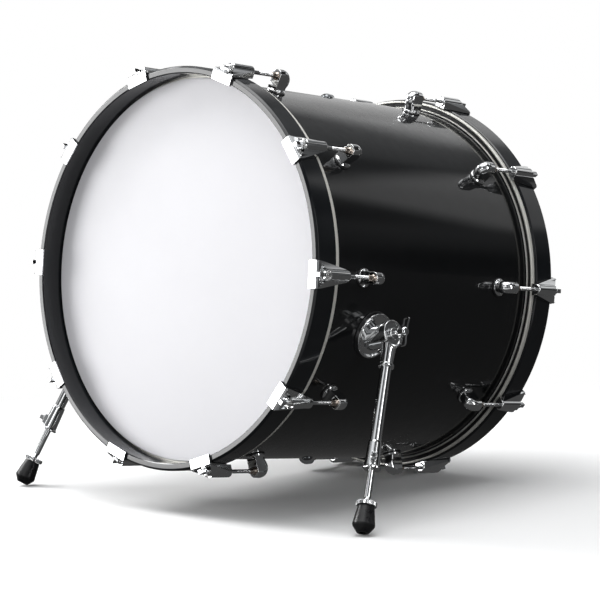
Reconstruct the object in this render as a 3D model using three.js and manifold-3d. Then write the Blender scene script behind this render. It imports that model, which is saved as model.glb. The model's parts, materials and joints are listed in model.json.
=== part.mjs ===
// A bass drum on folding spurs: shell, two heads and hoops, lugs, claw hooks with their rods, and two spurs.
// The drum is designed level, with its axis along Y and the front hoop's face at y = 0, then tipped back so
// that it stands on its spurs and on the rear hoop. Millimetres, +Z up, front towards -Y.
import * as THREE from "three";
import { mergeVertices } from "three/addons/utils/BufferGeometryUtils.js";
import Module from "manifold-3d";

const wasm = await Module();
wasm.setup();

const INCH = 25.4;
const GAP = 0.3;
const SEAT = 0.5;
const TILT = THREE.MathUtils.degToRad(6.9);

// Shell, hoops and heads.
const SHELL_RADIUS = 11 * INCH;
const SHELL_DEPTH = 18 * INCH;
const SHELL_WALL = 7.5;
const BEARING_BEVEL = 5;
const HEAD_RECESS = 35;
const DRUM_LENGTH = SHELL_DEPTH + 2 * HEAD_RECESS;
const HOOP_RADIUS = 295;
const HOOP_WALL = 11;
const HOOP_DEPTH = 40;
const HOOP_CHAMFER = 2.5;
const FILM = 0.6;
const COLLAR_RADIUS = 281.6;
const RING_RADIUS = 292.5;
const RING_DEPTH = 9.6;
const ROUND_SIDES = 70;

// Lugs, claws and tension rods, shared out evenly round each end.
const STATIONS = 10;
const ROD_CIRCLE = 304;
const ROD_RADIUS = 3;
const ROD_END = 112;
const LUG_PLACE = 112;
const LUG_BASE_RADIUS = 13.2;
const LUG_BASE_HEIGHT = 5;
const LUG_WIDTH = 18;
const LUG_MOUTH = LUG_PLACE - 8;
const LUG_THROAT = 12;
const LUG_THROAT_REACH = 10.5;
const LUG_FOOT_FRONT = 11;
const LUG_FOOT_BACK = 10;
const MOUTH_LOW = 17;
const MOUTH_HIGH = 32;
const LUG_BACK_PLACE = LUG_PLACE + 2.5;
const LUG_BACK_HEIGHT = 19;
const LUG_BACK_RADIUS = 14.5;
const LUG_BACK_ARC = [100, -40];
const NUT_RADIUS = 5.6;
const NUT_BORE = 3.6;
const NUT_PROUD = 11;
const CLAW_WIDTH = 39;
const CLAW_TAIL_WIDTH = 17;
const CLAW_LENGTH = 50;
const CLAW_PLATE = 3.2;
const CLAW_SIDE = 3;
const CLAW_HEIGHT = 11.5;
const CLAW_LIP = 1.5;
const CLAW_SHOULDER = 2;
const POCKET_DEPTH = 12;
const POCKET_WALL = 1.5;
const BOSS_RADIUS = 7.5;
const BOSS_END = 52;
const WASHER_RADIUS = 6;
const WASHER_THICKNESS = 4;
const KEY_HEAD = 6.4;
const KEY_FRONT = -7;
const KEY_BACK = 5;

// Air vents.
const VENT_ANGLE = 80;
const VENT_RADIUS = 8;
const VENT_HOLE = 4;
const VENT_BORE = 2.8;
const VENT_DOME = 3.5;
const VENT_BRIM = 2;
const VENT_SPIGOT = 10.5;

// Spurs. A leg's own frame has its origin on the pivot, +X along the pivot, outwards, and +Z up the leg.
const PIVOT = new THREE.Vector3(303.5, 149.5, -77.5);
const PIVOT_RISE = THREE.MathUtils.degToRad(12.2);
const LEG_FORWARD = THREE.MathUtils.degToRad(20.1);
const BRACKET_ANGLE = -16.5;
const BRACKET_RADIUS = 33.5;
const BRACKET_RIM = 2.5;
const BRACKET_PLATE = 4.5;
const BRACKET_RIM_HEIGHT = 3;
const BARREL_RADIUS = 17;
const BARREL_LENGTH = 34;
const BOLT_RADIUS = 4;
const BOLT_PLAY = 0.5;
const BOLT_REACH = 16;
const BOLT_HOLE_DEPTH = 23;
const EYE_RADIUS = 20;
const EYE_INNER = -5.5;
const EYE_OUTER = 6.5;
const EYE_RECESS = 3;
const EYE_RIM = 4;
const NECK_TOP = -10;
const NECK_END = -46;
const NECK_RADIUS = 9;
const SOCKET_RADIUS = 11.5;
const COLLAR_THICKNESS = 5;
const TUBE_RADIUS = 8;
const TUBE_BORE = 5.6;
const TUBE_BORE_TOP = -17;
const TUBE_END = -199.5;
const CLAMP_TOP = -162;
const CLAMP_END = -203;
const CLAMP_TOP_RADIUS = 9.2;
const CLAMP_RADIUS = 12.5;
const CLAMP_BAND = 2;
const CLAMP_FLARE = 3;
const CLAMP_LIP = 4;
const CLAMP_BULGE = 0.6;
const CLAMP_BOLT_RISE = 15;
const CLAMP_BOLT_TURN = -42;
const CLAMP_BOSS_RADIUS = 5;
const CLAMP_BOLT_END = 21;
const WING_ROOT = 5;
const WING_CORNER = 4;
const WING_NEAR = [18.5, 24.5];
const WING_FAR = [18.5, 28.5];
const WING_HUB_RADIUS = 6.5;
const WING_HUB_START = 16;
const WING_HUB_END = 30;
const WING_THICKNESS = 3;
const WING_WASHER_RADIUS = 8.5;
const LEG_RADIUS = 5;
const LEG_TOP = -75;
const LEG_STEP = -245;
const THREAD_RADIUS = 4;
const POINT_LENGTH = 9;
const POINT_RECESS = 1.5;
const LOCK_RING_RADIUS = 14.5;
const LOCK_RING_HEIGHT = 6;
const LOCK_RING_CHAMFER = 0.8;
const FOOT_HEIGHT = 38;
const FOOT_TOP_RADIUS = 11.5;
const FOOT_RADIUS = 16;
const FOOT_TIP_RADIUS = 8.5;
const FOOT_TAPER = 9;
const FOOT_WAIST = 11.5;

const finish = (color, roughness, metalness) => ({ color, roughness, metalness });
const SHELL_LACQUER = finish(0x0b0c0d, 0.08, 0.0);
const HOOP_LACQUER = finish(0x151618, 0.25, 0.0);
const HEAD_FILM = finish(0xe9e9ec, 0.45, 0.0);
const CHROME = finish(0xd6d8da, 0.12, 1.0);
const RUBBER = finish(0x101113, 0.6, 0.0);

const drum = new THREE.Group();

// A closed three.js geometry as a solid that can be joined and cut.
function solid(geometry) {
  const bare = geometry.clone();
  bare.deleteAttribute("normal");
  bare.deleteAttribute("uv");
  const merged = mergeVertices(bare);
  const vertProperties = merged.attributes.position.array;
  const triVerts = new Uint32Array(merged.index.array);
  return new wasm.Manifold(new wasm.Mesh({ numProp: 3, vertProperties, triVerts }));
}

// A solid as a named mesh inside a group.
function place(group, name, body, look) {
  const { numProp, vertProperties, triVerts } = body.getMesh();
  const positions = new Float32Array((vertProperties.length / numProp) * 3);
  for (let i = 0; i < positions.length / 3; i++) {
    positions.set(vertProperties.subarray(i * numProp, i * numProp + 3), i * 3);
  }
  const geometry = new THREE.BufferGeometry();
  geometry.setAttribute("position", new THREE.BufferAttribute(positions, 3));
  geometry.setIndex(new THREE.BufferAttribute(new Uint32Array(triVerts), 1));
  geometry.computeVertexNormals();
  const mesh = new THREE.Mesh(geometry, new THREE.MeshStandardMaterial({ ...look, flatShading: true }));
  mesh.name = name;
  group.add(mesh);
}

// A ring or disc turned about Y from a profile of [radius, y], listed anticlockwise.
function turned(profile, sides) {
  const points = profile.map(([radius, y]) => new THREE.Vector2(radius, y));
  return new THREE.LatheGeometry(points, sides);
}

// The same, closed on itself, for a profile that stays off the axis.
const turnedRing = (profile, sides) => turned([...profile, profile[0]], sides);

// The same about Z, for a profile of [radius, z].
const turnedUp = (profile, sides) => turned(profile, sides).rotateX(Math.PI / 2);
const turnedUpRing = (profile, sides) => turnedRing(profile, sides).rotateX(Math.PI / 2);

function box(x, y, z) {
  const size = [x[1] - x[0], y[1] - y[0], z[1] - z[0]];
  const middle = [(x[0] + x[1]) / 2, (y[0] + y[1]) / 2, (z[0] + z[1]) / 2];
  return solid(new THREE.BoxGeometry(...size).translate(...middle));
}

function outline(points) {
  return new THREE.Shape(points.map(([a, b]) => new THREE.Vector2(a, b)));
}

function extruded(points, from, to) {
  const options = { depth: to - from, bevelEnabled: false };
  return new THREE.ExtrudeGeometry(outline(points), options).translate(0, 0, from);
}

// Extrusions of an outline in one plane along the axis across it.
const alongZ = (points, from, to) => solid(extruded(points, from, to));
const alongX = (points, from, to) =>
  solid(extruded(points, from, to).rotateX(Math.PI / 2).rotateZ(Math.PI / 2));
const alongY = (points, from, to) =>
  solid(extruded(points.map(([x, z]) => [x, -z]), from, to).rotateX(-Math.PI / 2));

// Cylinders and tapers along each axis.
function pinY(radius, from, to, sides, x = 0, z = 0) {
  const pin = new THREE.CylinderGeometry(radius, radius, to - from, sides);
  return solid(pin.translate(0, (from + to) / 2, 0).rotateY(Math.PI / sides).translate(x, 0, z));
}

function alongPivot(radius, from, to, sides) {
  const pin = new THREE.CylinderGeometry(radius, radius, to - from, sides);
  return pin.rotateZ(Math.PI / 2).translate((from + to) / 2, 0, 0);
}

const pinX = (radius, from, to, sides) => solid(alongPivot(radius, from, to, sides));

function pinZ(lowRadius, highRadius, from, to, sides) {
  const pin = new THREE.CylinderGeometry(highRadius, lowRadius, to - from, sides);
  return solid(pin.rotateX(Math.PI / 2).translate(0, 0, (from + to) / 2));
}

const joined = (...bodies) => bodies.reduce((whole, body) => whole.add(body));

// Points on an arc, in degrees, for use in an outline.
function arc(centre, radius, from, to, steps) {
  const points = [];
  for (let i = 0; i <= steps; i++) {
    const angle = THREE.MathUtils.degToRad(from + ((to - from) * i) / steps);
    points.push([centre[0] + radius * Math.cos(angle), centre[1] + radius * Math.sin(angle)]);
  }
  return points;
}

// The right half of an outline, from its first point to its last, with its mirror image.
const mirrored = (half) => [...half, ...half.map(([a, b]) => [-a, b]).reverse()];

// ---- Shell, hoops and heads -------------------------------------------------------------------------

function makeShell() {
  const inner = SHELL_RADIUS - SHELL_WALL;
  const front = HEAD_RECESS + GAP;
  const rear = DRUM_LENGTH - front;
  const profile = [
    [inner, front + BEARING_BEVEL],
    [inner + BEARING_BEVEL, front],
    [SHELL_RADIUS, front],
    [SHELL_RADIUS, rear],
    [inner + BEARING_BEVEL, rear],
    [inner, rear - BEARING_BEVEL],
  ];
  let shell = solid(turnedRing(profile, ROUND_SIDES));
  for (const angle of [VENT_ANGLE, -VENT_ANGLE]) {
    const hole = pinZ(VENT_HOLE, VENT_HOLE, SHELL_RADIUS - 2 * SHELL_WALL, SHELL_RADIUS + SHELL_WALL, 12);
    const turn = 90 - angle;
    shell = shell.subtract(hole.rotate([0, turn, 0]).translate([0, DRUM_LENGTH / 2, 0]));
  }
  place(drum, "shell", shell, SHELL_LACQUER);
}

// Everything at one end is drawn for the front, with y counted from the hoop's face towards the middle.
function makeEnd(end, prefix) {
  const hoopInner = HOOP_RADIUS - HOOP_WALL;
  const hoop = [
    [hoopInner, 0],
    [HOOP_RADIUS - HOOP_CHAMFER, 0],
    [HOOP_RADIUS, HOOP_CHAMFER],
    [HOOP_RADIUS, HOOP_DEPTH - HOOP_CHAMFER],
    [HOOP_RADIUS - HOOP_CHAMFER, HOOP_DEPTH],
    [hoopInner, HOOP_DEPTH],
  ];
  place(end, prefix + "_hoop", solid(turnedRing(hoop, ROUND_SIDES)), HOOP_LACQUER);

  // The film lies on the bearing edge, turns down over a low collar and is held in the flesh ring.
  const ringFront = HOOP_DEPTH + GAP;
  const ringRear = ringFront + RING_DEPTH;
  const filmFront = HEAD_RECESS - FILM;
  const collarTop = COLLAR_RADIUS - FILM;
  const head = [
    [0, filmFront],
    [collarTop, filmFront],
    [COLLAR_RADIUS, HEAD_RECESS],
    [COLLAR_RADIUS, ringFront],
    [RING_RADIUS, ringFront],
    [RING_RADIUS, ringRear],
    [COLLAR_RADIUS - FILM, ringRear],
    [COLLAR_RADIUS - FILM, HEAD_RECESS],
    [0, HEAD_RECESS],
  ];
  place(end, prefix + "_head", solid(turned(head, ROUND_SIDES)), HEAD_FILM);
}

// ---- Lugs and claws, drawn with X along the rim, Y into the drum and Z out along the radius ---------

function lugBody() {
  const foot = SHELL_RADIUS + SEAT;
  const base = pinZ(LUG_BASE_RADIUS, LUG_BASE_RADIUS - 1, foot, foot + LUG_BASE_HEIGHT, 12);
  // The hood's side view: up its throat and its mouth, then round over the back and down to the base.
  const root = foot + LUG_BASE_HEIGHT - 1;
  const side = [
    [LUG_PLACE - LUG_FOOT_FRONT, root],
    [LUG_PLACE - LUG_THROAT_REACH, foot + LUG_THROAT],
    [LUG_MOUTH, foot + MOUTH_LOW],
    [LUG_MOUTH, foot + MOUTH_HIGH],
    ...arc([LUG_BACK_PLACE, foot + LUG_BACK_HEIGHT], LUG_BACK_RADIUS, ...LUG_BACK_ARC, 5),
    [LUG_PLACE + LUG_FOOT_BACK, root],
  ];
  // Seen from above, the hood has straight sides and a round back.
  const half = LUG_WIDTH / 2;
  const straight = LUG_BACK_PLACE + LUG_BACK_RADIUS - half;
  const ahead = LUG_PLACE - 2 * LUG_FOOT_FRONT;
  const plan = [...arc([0, straight], half, 0, 180, 6), [-half, ahead], [half, ahead]];
  const hood = alongX(side, -half, half).intersect(alongZ(plan, foot, foot + 2 * MOUTH_HIGH));
  const nut = pinY(NUT_RADIUS, LUG_MOUTH - NUT_PROUD, LUG_MOUTH + 2, 8, 0, ROD_CIRCLE);
  const bore = pinY(NUT_BORE, LUG_MOUTH - NUT_PROUD - 1, ROD_END + 4, 6, 0, ROD_CIRCLE);
  return joined(base.translate([0, LUG_PLACE, 0]), hood, nut).subtract(bore);
}

function clawBody() {
  const half = CLAW_WIDTH / 2;
  const tail = CLAW_TAIL_WIDTH / 2;
  const under = HOOP_RADIUS + SEAT;
  const deck = under + CLAW_SIDE;
  const roof = under + CLAW_HEIGHT;
  const front = -GAP - CLAW_PLATE;
  const section = mirrored([
    [half, under],
    [half, deck],
    [tail, roof],
  ]);
  const plan = mirrored([
    [half, front],
    [half, CLAW_SHOULDER],
    [tail, CLAW_LENGTH],
  ]);
  // A V-shaped pocket in the front of the hook, open ahead, for the rod's head and its washer.
  const mouth = half - POCKET_WALL;
  const pocket = [
    [mouth, front - 1],
    [mouth, -GAP],
    [0, POCKET_DEPTH],
    [-mouth, -GAP],
    [-mouth, front - 1],
  ];
  const body = alongY(section, front, CLAW_LENGTH).intersect(alongZ(plan, under, roof));
  const boss = pinY(BOSS_RADIUS, POCKET_DEPTH - 2, BOSS_END, 8, 0, ROD_CIRCLE);
  const lip = box([-half, half], [front, -GAP], [HOOP_RADIUS - HOOP_WALL - CLAW_LIP, deck]);
  const hook = joined(body.subtract(alongZ(pocket, deck, roof + 1)), boss, lip);
  const washer = pinY(WASHER_RADIUS, POCKET_DEPTH - WASHER_THICKNESS, POCKET_DEPTH, 8, 0, ROD_CIRCLE);
  const headHalf = KEY_HEAD / 2;
  const headSides = [ROD_CIRCLE - headHalf, ROD_CIRCLE + headHalf];
  const head = box([-headHalf, headHalf], [KEY_FRONT, KEY_BACK], headSides);
  const rod = pinY(ROD_RADIUS, KEY_BACK - 1, ROD_END, 6, 0, ROD_CIRCLE);
  const hoopSpace = box([-half - 1, half + 1], [-GAP, HOOP_DEPTH], [HOOP_RADIUS - 2 * HOOP_WALL, under]);
  return joined(hook, washer, head, rod).subtract(hoopSpace);
}

function makeStations(end, prefix) {
  const lug = lugBody();
  const claw = clawBody();
  for (let i = 0; i < STATIONS; i++) {
    const station = new THREE.Group();
    station.rotation.y = Math.PI / 2 - (i * 2 * Math.PI) / STATIONS;
    end.add(station);
    const number = String(i + 1).padStart(2, "0");
    place(station, `${prefix}_lug_${number}`, lug, CHROME);
    place(station, `${prefix}_claw_and_rod_${number}`, claw, CHROME);
  }
}

// ---- Vent -------------------------------------------------------------------------------------------

function makeVent() {
  const foot = SHELL_RADIUS + SEAT;
  const spigot = VENT_HOLE - GAP;
  const profile = [
    [VENT_BORE, foot - VENT_SPIGOT],
    [spigot, foot - VENT_SPIGOT],
    [spigot, foot],
    [VENT_RADIUS, foot],
    [VENT_RADIUS - 1, foot + VENT_BRIM],
    [VENT_HOLE, foot + VENT_DOME],
    [VENT_BORE, foot + VENT_DOME],
  ];
  const station = new THREE.Group();
  station.position.y = DRUM_LENGTH / 2;
  station.rotation.y = THREE.MathUtils.degToRad(90 - VENT_ANGLE);
  drum.add(station);
  place(station, "air_vent", solid(turnedUpRing(profile, 12)), CHROME);
}

// ---- Spurs ------------------------------------------------------------------------------------------

function frameOf(x, z) {
  const y = new THREE.Vector3().crossVectors(z, x);
  return new THREE.Matrix4().makeBasis(x, y, z);
}

// The bracket's flange stands on the shell's radius and its barrel on the pivot. Both start inside the
// shell's wall and are cut back to its curve.
function makeBracket(side, name, outward) {
  const sunk = SHELL_RADIUS - BRACKET_PLATE;
  const face = SHELL_RADIUS + BRACKET_PLATE;
  const inside = BRACKET_RADIUS - BRACKET_RIM;
  const flange = turnedUp(
    [
      [0, sunk],
      [BRACKET_RADIUS, sunk],
      [BRACKET_RADIUS, face + BRACKET_RIM_HEIGHT - 1],
      [BRACKET_RADIUS - 1, face + BRACKET_RIM_HEIGHT],
      [inside, face + BRACKET_RIM_HEIGHT],
      [inside - 1, face],
      [0, face],
    ],
    28,
  );
  const angle = THREE.MathUtils.degToRad(BRACKET_ANGLE);
  const radial = new THREE.Vector3(side * Math.cos(angle), 0, Math.sin(angle));
  const along = new THREE.Vector3(0, 1, 0);
  const onShell = frameOf(new THREE.Vector3().crossVectors(along, radial), radial);
  flange.applyMatrix4(onShell).translate(0, PIVOT.y, 0);

  const pivot = new THREE.Vector3(side * PIVOT.x, PIVOT.y, PIVOT.z);
  const up = new THREE.Vector3().crossVectors(outward, along).multiplyScalar(side);
  const atPivot = frameOf(outward, up).setPosition(pivot);
  const barrelEnd = EYE_INNER - GAP;
  const holeEnd = barrelEnd + 1;
  const barrel = alongPivot(BARREL_RADIUS, barrelEnd - BARREL_LENGTH, barrelEnd, 20).applyMatrix4(atPivot);
  const holeRadius = BOLT_RADIUS + BOLT_PLAY;
  const hole = alongPivot(holeRadius, barrelEnd - BOLT_HOLE_DEPTH, holeEnd, 12).applyMatrix4(atPivot);

  const reach = 2 * BRACKET_RADIUS;
  const shellSpace = pinY(SHELL_RADIUS + SEAT, PIVOT.y - reach, PIVOT.y + reach, ROUND_SIDES);
  const body = joined(solid(flange), solid(barrel)).subtract(solid(hole)).subtract(shellSpace);
  place(drum, name, body, CHROME);
}

// The eye, its neck and collar, and the outer tube, which is open at its lower end.
function legTubeBody() {
  const eye = pinX(EYE_RADIUS, EYE_INNER, EYE_OUTER, 24);
  const neck = pinZ(NECK_RADIUS, SOCKET_RADIUS, NECK_END, NECK_TOP, 16);
  const beside = [-EYE_RADIUS, EYE_RADIUS];
  const outerCut = box([EYE_OUTER, EYE_RADIUS], beside, beside);
  const innerCut = box([-EYE_RADIUS, EYE_INNER], beside, beside);
  const collarEnd = NECK_END - COLLAR_THICKNESS;
  const collar = pinZ(SOCKET_RADIUS, SOCKET_RADIUS, collarEnd, NECK_END, 16);
  const tube = pinZ(TUBE_RADIUS, TUBE_RADIUS, TUBE_END, NECK_END - 2, 16);
  const recess = pinX(EYE_RADIUS - EYE_RIM, EYE_OUTER - EYE_RECESS, EYE_OUTER + 1, 20);
  const eyeHole = pinX(BOLT_RADIUS + BOLT_PLAY, EYE_INNER - 1, EYE_OUTER + 1, 12);
  const bore = pinZ(TUBE_BORE, TUBE_BORE, TUBE_END - 1, TUBE_BORE_TOP, 12);
  const casting = joined(neck.subtract(outerCut).subtract(innerCut), eye, collar, tube);
  return casting.subtract(recess).subtract(eyeHole).subtract(bore);
}

// A flared sleeve round the tube's end, with a square key bolt that points outwards and forwards.
function clampBody(side) {
  const sleeve = TUBE_RADIUS + GAP;
  const profile = [
    [TUBE_BORE, CLAMP_END],
    [CLAMP_RADIUS, CLAMP_END],
    [CLAMP_RADIUS, CLAMP_END + CLAMP_BAND],
    [CLAMP_RADIUS - 1, CLAMP_END + CLAMP_BAND + CLAMP_FLARE],
    [CLAMP_TOP_RADIUS + CLAMP_BULGE, CLAMP_TOP - CLAMP_LIP],
    [CLAMP_TOP_RADIUS, CLAMP_TOP],
    [sleeve, CLAMP_TOP],
    [sleeve, TUBE_END - GAP],
    [TUBE_BORE, TUBE_END - GAP],
  ];
  const boss = pinX(CLAMP_BOSS_RADIUS, CLAMP_TOP_RADIUS, CLAMP_RADIUS + 1, 12);
  const key = [-KEY_HEAD / 2, KEY_HEAD / 2];
  const head = box([CLAMP_RADIUS, CLAMP_BOLT_END], key, key);
  const bolt = joined(boss, head).rotate([0, 0, CLAMP_BOLT_TURN * side]);
  return joined(solid(turnedUpRing(profile, 18)), bolt.translate([0, 0, CLAMP_END + CLAMP_BOLT_RISE]));
}

function wingBoltBody() {
  const shaft = pinX(BOLT_RADIUS, EYE_INNER - BOLT_REACH, WING_HUB_START + 1, 12);
  const washer = pinX(WING_WASHER_RADIUS, EYE_OUTER - EYE_RECESS + GAP, EYE_OUTER + 2, 16);
  const hub = pinX(WING_HUB_RADIUS, WING_HUB_START, WING_HUB_END, 12);
  // Half of the wings, as [up from the pivot's axis, out along it], from the root round the two corners.
  const wing = mirrored([
    [WING_ROOT, WING_HUB_START + 1],
    [WING_ROOT + 3, WING_HUB_START + 4],
    ...arc(WING_NEAR, WING_CORNER, -80, 0, 2),
    ...arc(WING_FAR, WING_CORNER, 0, 110, 3),
    [WING_ROOT + 1, WING_HUB_END],
  ]);
  const outlineOfWings = wing.map(([up, out]) => [out, up]).reverse();
  const wings = alongY(outlineOfWings, -WING_THICKNESS / 2, WING_THICKNESS / 2);
  return joined(shaft, washer, hub, wings);
}

function innerLegBody(tip) {
  const point = tip + POINT_RECESS;
  const profile = [
    [0, point],
    [1, point + 1],
    [THREAD_RADIUS, point + POINT_LENGTH],
    [THREAD_RADIUS, LEG_STEP - 1],
    [LEG_RADIUS, LEG_STEP],
    [LEG_RADIUS, LEG_TOP - 1],
    [LEG_RADIUS - 1, LEG_TOP],
    [0, LEG_TOP],
  ];
  return solid(turnedUp(profile, 16));
}

function lockRingBody(low) {
  const high = low + LOCK_RING_HEIGHT;
  const profile = [
    [THREAD_RADIUS + GAP, low],
    [LOCK_RING_RADIUS - LOCK_RING_CHAMFER, low],
    [LOCK_RING_RADIUS, low + LOCK_RING_CHAMFER],
    [LOCK_RING_RADIUS, high - LOCK_RING_CHAMFER],
    [LOCK_RING_RADIUS - LOCK_RING_CHAMFER, high],
    [THREAD_RADIUS + GAP, high],
  ];
  return solid(turnedUpRing(profile, 24));
}

function footBody(tip) {
  const bore = THREAD_RADIUS + 2 * GAP;
  const profile = [
    [bore, tip],
    [FOOT_TIP_RADIUS, tip],
    [FOOT_RADIUS - 1, tip + FOOT_TAPER],
    [FOOT_RADIUS, tip + FOOT_WAIST],
    [FOOT_TOP_RADIUS, tip + FOOT_HEIGHT],
    [bore, tip + FOOT_HEIGHT],
  ];
  return solid(turnedUpRing(profile, 24));
}

// How far down the leg its foot meets the ground: the tipped floor passes under the rear hoop's last edge.
function footTip(pivot, down) {
  const up = new THREE.Vector3(0, -Math.sin(TILT), Math.cos(TILT));
  const rearEdge = new THREE.Vector3(0, DRUM_LENGTH - HOOP_CHAMFER, -HOOP_RADIUS);
  const height = pivot.clone().sub(rearEdge).dot(up);
  const slope = -down.dot(up);
  const rimDrop = FOOT_TIP_RADIUS * Math.sqrt(1 - slope * slope);
  return -(height - rimDrop) / slope;
}

function makeSpur(side, word) {
  const pivot = new THREE.Vector3(side * PIVOT.x, PIVOT.y, PIVOT.z);
  const outward = new THREE.Vector3(side * Math.cos(PIVOT_RISE), 0, Math.sin(PIVOT_RISE));
  const rise = new THREE.Vector3(-side * Math.sin(PIVOT_RISE), 0, Math.cos(PIVOT_RISE));
  const legUp = rise.multiplyScalar(Math.cos(LEG_FORWARD));
  legUp.add(new THREE.Vector3(0, Math.sin(LEG_FORWARD), 0));
  const tip = footTip(pivot, legUp.clone().negate());

  const leg = new THREE.Group();
  leg.position.copy(pivot);
  leg.setRotationFromMatrix(frameOf(outward, legUp));
  drum.add(leg);

  makeBracket(side, word + "_spur_bracket", outward);
  place(leg, word + "_spur_tube", legTubeBody(), CHROME);
  place(leg, word + "_spur_clamp", clampBody(side), CHROME);
  place(leg, word + "_wing_bolt", wingBoltBody(), CHROME);
  place(leg, word + "_inner_leg", innerLegBody(tip), CHROME);
  place(leg, word + "_lock_ring", lockRingBody(tip + FOOT_HEIGHT + GAP), CHROME);
  place(leg, word + "_rubber_foot", footBody(tip), RUBBER);
}

// ---- Assembly ---------------------------------------------------------------------------------------

makeShell();
makeVent();

const frontEnd = new THREE.Group();
const rearEnd = new THREE.Group();
rearEnd.position.y = DRUM_LENGTH;
rearEnd.rotation.z = Math.PI;
drum.add(frontEnd, rearEnd);
for (const [end, prefix] of [
  [frontEnd, "resonant"],
  [rearEnd, "batter"],
]) {
  makeEnd(end, prefix);
  makeStations(end, prefix);
}
makeSpur(1, "right");
makeSpur(-1, "left");

// Tip the drum back and stand it with the middle of its footprint at the origin.
drum.rotation.x = -TILT;
const whole = new THREE.Group();
whole.add(drum);
whole.updateMatrixWorld(true);
const bounds = new THREE.Box3().setFromObject(whole, true);
const middle = bounds.getCenter(new THREE.Vector3());
drum.position.set(-middle.x, -middle.y, -bounds.min.z);

export default whole;
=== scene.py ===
"""The looks of a bass drum on folding spurs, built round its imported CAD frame.

Shapes are drawn in millimetres in three kinds of frame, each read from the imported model: the drum
(origin in the front hoop's face, Y along the drum's axis, Z up), a station (X along the rim, Y into
the drum, Z out along the radius) and a leg (X out along its pivot, Z up the leg).
"""
import json
import math

import bmesh
import bpy
from mathutils import Matrix, Vector


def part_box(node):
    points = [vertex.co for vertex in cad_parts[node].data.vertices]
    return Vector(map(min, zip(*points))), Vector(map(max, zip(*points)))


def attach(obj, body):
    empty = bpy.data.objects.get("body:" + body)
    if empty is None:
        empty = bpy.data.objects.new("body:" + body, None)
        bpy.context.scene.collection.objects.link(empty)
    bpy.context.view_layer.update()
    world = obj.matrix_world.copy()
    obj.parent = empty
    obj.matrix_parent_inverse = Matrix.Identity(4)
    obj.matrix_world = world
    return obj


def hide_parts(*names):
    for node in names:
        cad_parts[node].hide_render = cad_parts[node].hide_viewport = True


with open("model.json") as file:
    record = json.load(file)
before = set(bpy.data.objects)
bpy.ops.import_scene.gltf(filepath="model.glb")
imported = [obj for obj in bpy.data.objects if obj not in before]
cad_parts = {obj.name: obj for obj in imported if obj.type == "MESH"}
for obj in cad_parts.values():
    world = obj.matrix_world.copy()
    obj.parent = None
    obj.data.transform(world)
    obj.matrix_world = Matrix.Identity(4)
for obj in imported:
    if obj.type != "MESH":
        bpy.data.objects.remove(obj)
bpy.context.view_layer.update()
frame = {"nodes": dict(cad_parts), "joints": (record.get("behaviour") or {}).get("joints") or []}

MM = 0.001
X_AXIS, Y_AXIS, Z_AXIS = Vector((1, 0, 0)), Vector((0, 1, 0)), Vector((0, 0, 1))

# Camera.
CAMERA_PLACE = Vector((2.4708, -2.5650, 0.5953))
CAMERA_AZIMUTH = math.radians(43.805)
CAMERA_ELEVATION = math.radians(4.928)
CAMERA_ROLL = math.radians(-1.553)
CAMERA_LENS = 139.34
SENSOR = 36.0

# Drum.
STATIONS = 10
SHELL_RADIUS = 279.4
SHELL_WALL = 7.5
HEAD_RECESS = 35.0
HOOP_RADIUS = 295.0
HOOP_WALL = 11.0
HOOP_DEPTH = 40.0
RING_RADIUS = 292.3
RING_FRONT = 40.4
RING_REAR = 47.4
COLLAR_RADIUS = 281.4
FILM = 0.5

# Stations.
ROD_CIRCLE = 304.0
ROD_RADIUS = 3.0
ROD_END = 112.0
THREAD_START = 66.0
THREAD_PITCH = 1.0
THREAD_DEPTH = 0.45
LUG_PLACE = 112.0
LUG_BASE = 13.2
LUG_FOOT = SHELL_RADIUS + 1.3
LUG_MOUTH = 104.0
LUG_HALF = 9.0
CLAW_HALF = 19.5
CLAW_TAIL = 8.5
CLAW_LENGTH = 50.0
CLAW_UNDER = HOOP_RADIUS + 0.5
CLAW_DECK = CLAW_UNDER + 3.0
CLAW_ROOF = CLAW_UNDER + 11.5
CLAW_FRONT = -3.5
KEY_HALF = 3.2
CLAW_BOSS = 8.4
POCKET_SEAT = 12.0

# Bracket and leg.
BRACKET_ANGLE = math.radians(-16.5)
BRACKET_RADIUS = 33.5
EYE_RADIUS = 20.0
EYE_INNER, EYE_OUTER = -5.5, 6.5
BOLT_RADIUS = 4.0
NECK_END = -46.0
ELBOW_BORE_END = -29.5
TUBE_RADIUS = 8.0
TUBE_BORE = 5.6
CLAMP_TOP, CLAMP_END = -162.0, -203.0
LEG_STEP = -245.0
LEG_RADIUS = 5.0
LEG_THREAD_RADIUS = 4.0
LEG_THREAD_PITCH = 1.25
FOOT_HEIGHT = 38.0
LOCK_RING_RADIUS = 14.1
LOCK_RING_HEIGHT = 6.0


# ---- Camera -----------------------------------------------------------------------------------------

def make_camera():
    level = math.cos(CAMERA_ELEVATION)
    ahead = Vector((
        -math.sin(CAMERA_AZIMUTH) * level,
        math.cos(CAMERA_AZIMUTH) * level,
        -math.sin(CAMERA_ELEVATION),
    ))
    right = ahead.cross(Z_AXIS).normalized()
    up = right.cross(ahead)
    turn = Matrix.Rotation(-CAMERA_ROLL, 3, ahead)
    right, up = turn @ right, turn @ up
    data = bpy.data.cameras.new("camera")
    data.lens = CAMERA_LENS
    data.sensor_width = SENSOR
    camera = bpy.data.objects.new("camera", data)
    facing = Matrix((right, up, -ahead)).transposed().to_4x4()
    camera.matrix_world = Matrix.Translation(CAMERA_PLACE) @ facing
    bpy.context.scene.collection.objects.link(camera)
    bpy.context.scene.camera = camera


make_camera()

# ---- Frames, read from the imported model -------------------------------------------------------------

joints = {joint["name"]: joint for joint in frame["joints"]}


def axes_at(origin, x, z):
    """A frame in metres from its origin and its X and Z axes."""
    y = z.cross(x)
    return Matrix.Translation(origin) @ Matrix((x, y, z)).transposed().to_4x4()


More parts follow.
